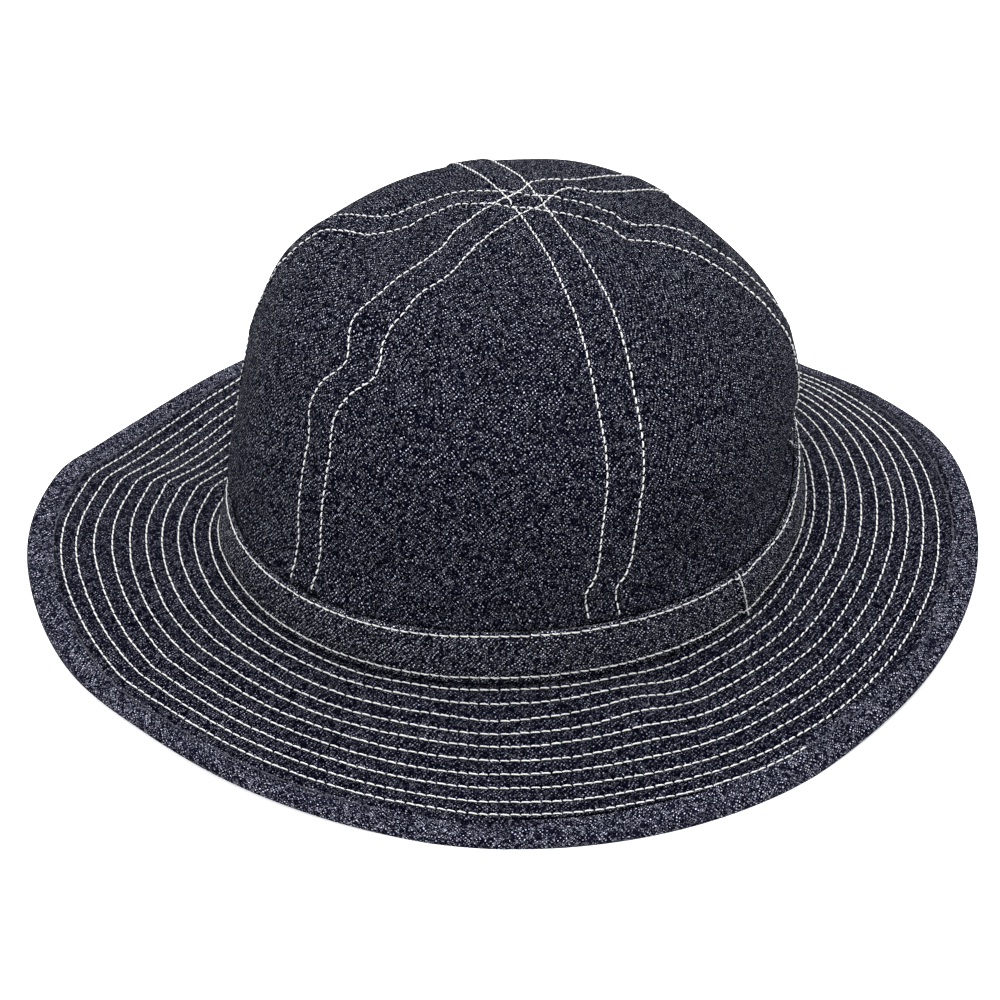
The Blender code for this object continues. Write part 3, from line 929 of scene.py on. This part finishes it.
def stitch_row(route, seed, fill=0.95, slant=0.10, loop=True, stitch=STITCH):
    """Stitches along a route, as points in sections: stitches, sections, sides, three.

    fill and slant are numbers, or lines with a value at each point of the route.
    """
    lengths = route[2]
    total = lengths[-1]
    count = max(1, int(round(total / stitch)))
    chance = np.random.default_rng(seed)
    pitch = total / count
    starts = (np.arange(count) + chance.uniform(-0.05, 0.05, count)) * pitch
    fills = np.interp(starts, lengths, np.broadcast_to(fill, lengths.shape))
    slants = np.interp(starts, lengths, np.broadcast_to(slant, lengths.shape))[:, None]
    ends = starts + pitch * fills * chance.uniform(0.94, 1.04, count)
    if not loop:
        starts = np.maximum(starts, 0.0)
        ends = np.minimum(ends, total)
    table = np.array(STITCH_SHAPE)
    places = starts[:, None] + (ends - starts)[:, None] * table[None, :, 0]
    if not loop:
        places = np.clip(places, 0.0, total)
    middle, up = between(route, places, loop)
    a_little = 0.2 * MM
    ahead = unit(between(route, places + a_little, loop)[0] - between(route, places - a_little, loop)[0])
    side = unit(np.cross(ahead, up))
    shift = slants * THREAD * chance.uniform(0.6, 1.4, (count, 1)) * (table[None, :, 0] * 2.0 - 1.0)
    shift = shift + THREAD * chance.uniform(-0.16, 0.16, (count, 1))
    middle = middle + side * shift[..., None] + up * (table[None, :, 1] * THREAD)[..., None]
    wide = 0.5 * THREAD * table[None, :, 2] * chance.uniform(0.90, 1.10, (count, 1))
    twist = table[None, :, 0] * 2.6 * math.pi + chance.uniform(0.0, 2.0 * math.pi, (count, 1))
    rings = []
    for corner in range(SECTION_SIDES):
        turn = twist + 2.0 * math.pi * corner / SECTION_SIDES
        reach = wide * (1.0 if corner % 2 else 0.80)
        sideways = side * (np.cos(turn) * reach)[..., None]
        rings.append(middle + sideways + up * (np.sin(turn) * reach * 0.9)[..., None])
    return np.stack(rings, axis=2)


def thread_piece(name, rows, material):
    """One object of all the stitches of some rows."""
    rings = np.concatenate(rows)
    count, sections, sides = rings.shape[:3]
    index = np.arange(rings[..., 0].size).reshape(count, sections, sides)
    after = np.roll(index, -1, axis=2)
    walls = np.stack([index[:, :-1], after[:, :-1], after[:, 1:], index[:, 1:]], axis=-1).reshape(-1, 4)
    first, last = index[:, 0], index[:, -1]
    caps = [first[:, [3, 2, 1, 0]], first[:, [5, 4, 3, 0]], last[:, [0, 1, 2, 3]], last[:, [0, 3, 4, 5]]]
    quads = np.concatenate([walls] + caps)
    points = rings.reshape(-1, 3)
    mesh_piece(name, points, quads, points[quads][..., :2], material)


ROUTE_STEPS = 2400         # steps of a row's route round the hat


def raised_route(angles, run, rise):
    """A row over the brim, with its stitches' fill and slant at each point."""
    facing = brim_normal(angles, run)
    table = np.array(STITCH_SIDES)
    sides = [np.interp(np.mod(angles, 360.0), table[:, 0], column, period=360.0) for column in table.T[1:]]
    return path_of(brim_skin(angles, run) + facing * rise[:, None], facing), *sides


def brim_route(row):
    """A row round the brim."""
    angles = np.linspace(0.0, 360.0, ROUTE_STEPS + 1)
    run = row_run(angles, float(row))
    face = brim_face(angles, np.full(angles.shape, float(row)))
    rise = np.sum((face - brim_skin(angles, run)) * brim_normal(angles, run), axis=-1)
    rise = np.where(run > lip_run(angles), np.maximum(rise, binding_rise(angles, run)), rise)
    return raised_route(angles, run, rise)


def groove_route():
    """The row that holds the binding."""
    angles = np.linspace(0.0, 360.0, ROUTE_STEPS + 1)
    run = groove_run(angles)
    return raised_route(angles, run, binding_rise(angles, run))


def pick(rings, first, last):
    """The stitches whose angles lie from first on to last."""
    middle = rings.mean(axis=(1, 2)) - AXIS
    angle = np.degrees(np.arctan2(middle[:, 0], -middle[:, 1]))
    return rings[np.mod(angle - first, 360.0) < np.mod(last - first, 360.0)]


def joint_route(count=60):
    """The slanting row at the band's joint."""
    rises = np.linspace(-0.6 * MM, BAND_HEIGHT + 0.2 * MM, count)
    angles = joint_angle(rises)
    return path_of(band_skin(angles, rises), outwards(angles))


def band_route(rise, count=1600):
    """A row round the band."""
    angles = np.linspace(0.0, 360.0, count + 1)
    return path_of(band_skin(angles, rise), outwards(angles))


def share_at(angles, distances):
    """Shares of the crown at straight distances from its top, one for each angle."""
    levels = np.linspace(0.0, 1.0, 500)
    top = crown_top()
    found = []
    for angle, distance in zip(angles, distances):
        far = np.linalg.norm(crown_skin(angle, levels) - top, axis=1)
        found.append(np.interp(distance, far[::-1], levels[::-1]))
    return np.array(found)


def laid_on(tree, points, facing, reach=0.006):
    """The points moved along their directions onto a surface."""
    found = []
    for point, outward in zip(points, facing):
        place = tree.ray_cast(tuple(point + outward * reach), tuple(-outward), 2.0 * reach)[0]
        found.append(point if place is None else np.array(place))
    return np.array(found)


def seam_route(tree, seam, side, count=260):
    """A stitch row on the crown, from a seam's foot over the top to the foot of the seam across from it."""
    across = (seam + 3) % 6
    points = []
    normals = []
    for place, part, outward in ((seam, side, False), (across, -side, True)):
        foot = crown_skin(np.array([SEAM_ANGLES[place]]), np.zeros(1))[0]
        reach = np.linalg.norm(foot - crown_top()) - 1.0 * MM
        along = np.linspace(0.0, 1.0, count) * reach
        offset = seam_row_offset(place, along)
        distance = np.hypot(along, offset)
        turn = np.degrees(np.arctan2(offset, along)) * part
        angle = SEAM_ANGLES[place] + turn
        share = share_at(angle, distance)
        for _ in range(4):
            angle = seam_angle(place, share) + turn
            share = share_at(angle, distance)
        facing = crown_normal(angle, share)
        line = laid_on(tree, crown_face(angle, share), facing)
        points.append(line if outward else line[::-1])
        normals.append(facing if outward else facing[::-1])
    return path_of(np.concatenate([points[0], points[1][1:]]), np.concatenate([normals[0], normals[1][1:]]))


LAST_ROW_ECRU = (200.0, 36.5)   # angles between which the brim's last row is ecru; it is navy elsewhere
GROOVE_NAVY = (205.0, 345.0)    # angles between which the binding has a navy row of its own


def build_stitches(crown, ecru, navy):
    """All the stitch rows, in a few pieces."""
    rows = []
    for row in range(BRIM_ROWS):
        route, fill, slant = brim_route(row)
        rows.append(stitch_row(route, 100 + row, fill, slant))
    half = BRIM_ROWS // 2
    last = rows[-1]
    thread_piece("brim_stitches_inner", rows[:half], ecru)
    thread_piece("brim_stitches_outer", rows[half:-1] + [pick(last, *LAST_ROW_ECRU)], ecru)
    route, fill, slant = groove_route()
    groove = stitch_row(route, 150, fill, slant)
    navy_rows = [pick(last, *LAST_ROW_ECRU[::-1]), pick(groove, *GROOVE_NAVY)]
    thread_piece("edge_stitches", navy_rows, navy)
    band = [stitch_row(band_route(rise), 200 + place, 0.97, 0.22) for place, rise in enumerate(BAND_ROWS)]
    band.append(stitch_row(joint_route(), 210, 0.97, 0.1, loop=False))
    thread_piece("band_stitches", band, ecru)
    tree = BVHTree.FromObject(crown, bpy.context.evaluated_depsgraph_get())
    seams = []
    for seam in range(3):
        for side in (-1, 1):
            seams.append(stitch_row(seam_route(tree, seam, side), 300 + 2 * seam + side, 0.82, 0.22,
                                    loop=False, stitch=CROWN_STITCH))
    thread_piece("crown_stitches", seams, ecru)


# Materials

def feed(tree, node, values):
    """Gives a node's inputs numbers, colours or other nodes' outputs."""
    for name, value in values.items():
        if isinstance(value, bpy.types.NodeSocket):
            tree.links.new(value, node.inputs[name])
        else:
            node.inputs[name].default_value = value


def add(tree, kind, values, **settings):
    """A node with its inputs and settings."""
    node = tree.nodes.new(kind)
    for name, value in settings.items():
        setattr(node, name, value)
    feed(tree, node, values)
    return node


def calc(tree, operation, *values, clamp=False):
    """The result of a calculation."""
    node = add(tree, "ShaderNodeMath", dict(enumerate(values)), operation=operation)
    node.use_clamp = clamp
    return node.outputs[0]


def ramp(tree, value, low, high):
    """0 where a value is below low, 1 above high and soft between."""
    node = add(tree, "ShaderNodeMapRange", {"Value": value, "From Min": low, "From Max": high},
               interpolation_type="SMOOTHSTEP")
    return node.outputs[0]


def noise(tree, vector, scale, detail=2.0, distortion=0.0):
    """Soft noise from 0 to 1."""
    node = add(tree, "ShaderNodeTexNoise",
               {"Vector": vector, "Scale": scale, "Detail": detail, "Distortion": distortion})
    return node.outputs["Fac"]


def spots(tree, place, across, along, scatter, size):
    """Spots in a loose lattice with the given spaces, with a chance value each: (spot, chance)."""
    counted = add(tree, "ShaderNodeVectorMath", {0: place, 1: (1.0 / across, 1.0 / along, 1.0)},
                  operation="MULTIPLY")
    cells = add(tree, "ShaderNodeTexVoronoi", {"Vector": counted.outputs[0], "Scale": 1.0,
                                               "Randomness": scatter}, voronoi_dimensions="2D")
    chance = add(tree, "ShaderNodeSeparateColor", {"Color": cells.outputs["Color"]})
    return ramp(tree, cells.outputs["Distance"], size, 0.55 * size), chance.outputs[0]


def new_material(name):
    """A material, its nodes and its surface shader."""
    material = bpy.data.materials.new(name)
    material.use_nodes = True
    tree = material.node_tree
    return material, tree, tree.nodes["Principled BSDF"]


def shaded(tree, colour, shade):
    """A colour times a shade."""
    grey = add(tree, "ShaderNodeCombineXYZ", {0: shade, 1: shade, 2: shade})
    mix = add(tree, "ShaderNodeMix", {0: 1.0, 6: (*colour, 1.0), 7: grey.outputs[0]},
              data_type="RGBA", blend_type="MULTIPLY")
    return mix.outputs[2]


TWILL_TURN = 0.7           # radians from the panel's grain to the rows of flecks
FLECK_SPACES = (1.03, 0.75)   # millimetres between flecks across and along their rows
SPECK_SPACE = 0.55
STRAY = 3.0                # millimetres that the weave strays over the cloth
WEAVE_DEPTH = 0.14 * MM


def denim(name, base, fleck, strength, fuzz, patches):
    """Indigo twill: pale weft flecks in loose diagonal rows, dark gaps where the indigo's own tone is
    darkened further with painted shade between the threads, fibres and a little sheen.
    """
    material, tree, shader = new_material(name)
    cloth = add(tree, "ShaderNodeUVMap", {}, uv_map="cloth").outputs[0]
    mm = add(tree, "ShaderNodeVectorMath", {0: cloth, "Scale": 1000.0}, operation="SCALE").outputs[0]
    wobble = add(tree, "ShaderNodeTexNoise", {"Vector": mm, "Scale": 0.22, "Detail": 2.0})
    drift = add(tree, "ShaderNodeVectorMath", {0: wobble.outputs["Color"], 1: (0.5, 0.5, 0.5)},
                operation="SUBTRACT")
    drift_mm = add(tree, "ShaderNodeVectorMath", {0: drift.outputs[0], "Scale": STRAY}, operation="SCALE")
    moved = add(tree, "ShaderNodeVectorMath", {0: mm, 1: drift_mm.outputs[0]}, operation="ADD")
    spun = add(tree, "ShaderNodeVectorRotate", {"Vector": moved.outputs[0], "Angle": TWILL_TURN},
               rotation_type="Z_AXIS")
    place = spun.outputs[0]
    patch = ramp(tree, noise(tree, mm, 0.13, 3.0), 0.38, 0.62)
    patch = calc(tree, "ADD", calc(tree, "MULTIPLY", patch, patches), 1.0 - patches)
    dot, luck = spots(tree, place, *FLECK_SPACES, 0.25, 0.23)
    bright = calc(tree, "MULTIPLY", calc(tree, "POWER", luck, 2.6), dot)
    speck, speck_luck = spots(tree, mm, SPECK_SPACE, SPECK_SPACE, 0.9, 0.32)
    small = calc(tree, "MULTIPLY", calc(tree, "MULTIPLY", ramp(tree, speck_luck, 0.72, 1.0), speck), 0.28)
    flecks = calc(tree, "MULTIPLY", calc(tree, "MAXIMUM", bright, small),
                  calc(tree, "MULTIPLY", patch, strength))
    ridge = noise(tree, mm, 0.85, 2.0, 1.2)
    line = ramp(tree, calc(tree, "ABSOLUTE", calc(tree, "SUBTRACT", ridge, 0.5)), 0.022, 0.004)
    sparse = ramp(tree, noise(tree, mm, 0.55, 2.0), 0.50, 0.62)
    fibres = calc(tree, "MULTIPLY", calc(tree, "MULTIPLY", line, sparse), fuzz)
    pale = calc(tree, "MAXIMUM", flecks, fibres, clamp=True)
    # Painted shade between the threads: this mask darkens the indigo's own colour in the weave's gaps,
    # partly dye tone and partly painted shade, and it also lowers the bump there.
    shaded_gaps = ramp(tree, noise(tree, place, 1.5, 2.0), 0.36, 0.60)
    slow = ramp(tree, noise(tree, mm, 0.10, 2.0), 0.30, 0.70)
    shade = calc(tree, "ADD", calc(tree, "MULTIPLY", shaded_gaps, 1.25), 0.20)
    shade = calc(tree, "MULTIPLY", shade, calc(tree, "ADD", calc(tree, "MULTIPLY", slow, 0.3), 0.85))
    ground = shaded(tree, base, shade)
    colour = add(tree, "ShaderNodeMix", {0: pale, 6: ground, 7: (*fleck, 1.0)}, data_type="RGBA")
    height = calc(tree, "ADD", shaded_gaps, calc(tree, "MULTIPLY", pale, 0.7))
    bump = add(tree, "ShaderNodeBump", {"Height": height, "Strength": 0.6, "Distance": WEAVE_DEPTH})
    feed(tree, shader, {"Base Color": colour.outputs[2], "Normal": bump.outputs[0], "Roughness": 0.90,
                        "Specular IOR Level": 0.002, "Sheen Weight": 0.002, "Sheen Roughness": 0.50,
                        "Sheen Tint": (0.62, 0.68, 0.85, 1.0)})
    return material


def thread_material(name, colour):
    """Cotton thread with small uneven tones."""
    material, tree, shader = new_material(name)
    spot = add(tree, "ShaderNodeTexCoord", {}).outputs["Object"]
    tone = noise(tree, spot, 900.0, 2.0)
    shade = calc(tree, "ADD", calc(tree, "MULTIPLY", tone, 0.5), 0.72)
    feed(tree, shader, {"Base Color": shaded(tree, colour, shade), "Roughness": 0.75, "Sheen Weight": 0.15})
    return material


# Studio

def build_floor():
    """A plain pale floor."""
    size = 4.0
    mesh = bpy.data.meshes.new("floor")
    mesh.from_pydata([(-size, -size, 0.0), (size, -size, 0.0), (size, size, 0.0), (-size, size, 0.0)], [],
                     [(0, 1, 2, 3)])
    material, tree, shader = new_material("floor_white")
    feed(tree, shader, {"Base Color": (0.90, 0.90, 0.90, 1.0), "Roughness": 0.9,
                        "Emission Color": (1.0, 1.0, 1.0, 1.0), "Emission Strength": 0.60})
    mesh.materials.append(material)
    new_object("floor", mesh)


def area_light(name, place, size, power):
    """A soft square light aimed at the hat."""
    light = bpy.data.lights.new(name, "AREA")
    light.shape = "SQUARE"
    light.size = size
    light.energy = power
    lamp = new_object(name, light)
    lamp.location = place
    away = np.array(place) - np.array([0.0, 0.0, 0.05])
    distance = float(np.linalg.norm(away))
    lamp.rotation_euler = (math.acos(away[2] / distance), 0.0, math.atan2(away[0], -away[1]))


def build_lights():
    """Plain soft studio light."""
    world = bpy.data.worlds.new("studio")
    world.use_nodes = True
    tree = world.node_tree
    feed(tree, tree.nodes["Background"], {"Color": (1.0, 1.0, 1.0, 1.0), "Strength": 0.38})
    bpy.context.scene.world = world
    area_light("key_light", (-0.4, -0.9, 1.4), 1.0, 20.0)
    area_light("top_light", (0.1, 0.15, 1.7), 1.8, 62.0)
    # Plain tones: the photograph's white stays white
    bpy.context.scene.view_settings.view_transform = "Standard"


def build_camera():
    """The photograph's view."""
    data = bpy.data.cameras.new("camera")
    data.sensor_width = SENSOR
    data.lens = VIEW_FOCAL * SENSOR / FRAME
    data.shift_x = -(TARGET_PIXEL[0] - 0.5 * FRAME) / FRAME
    data.shift_y = (TARGET_PIXEL[1] - 0.5 * FRAME) / FRAME
    camera = new_object("camera", data)
    tilt = math.radians(VIEW_ELEVATION)
    target = AXIS + np.array([0.0, 0.0, SIT_HEIGHT])
    camera.location = target + VIEW_DISTANCE * np.array([0.0, -math.cos(tilt), math.sin(tilt)])
    camera.rotation_euler = (0.5 * math.pi - tilt, 0.0, 0.0)
    bpy.context.scene.camera = camera


AXIS = find_axis()

CLOTHS = (
    # name, base, fleck, strength, fuzz, patches
    ("crown_denim", (0.0015, 0.0017, 0.0050), (0.62, 0.64, 0.77), 0.87, 0.18, 0.08),
    ("band_denim", (0.0020, 0.0022, 0.0066), (0.84, 0.86, 1.00), 1.50, 0.20, 0.15),
    ("brim_denim", (0.0012, 0.0013, 0.0042), (0.52, 0.53, 0.67), 0.74, 0.20, 0.25),
    ("edge_denim", (0.0028, 0.0030, 0.0080), (0.60, 0.61, 0.76), 1.55, 0.60, 0.50),
)
crown_denim, band_denim, brim_denim, edge_denim = (denim(*row) for row in CLOTHS)
ecru_thread = thread_material("ecru_thread", (0.60, 0.60, 0.59))
navy_thread = thread_material("navy_thread", (0.016, 0.018, 0.032))

build_brim(brim_denim)
build_binding(edge_denim)
build_band(band_denim)
crown = build_crown(crown_denim)
build_stitches(crown, ecru_thread, navy_thread)
build_floor()
build_lights()
build_camera()
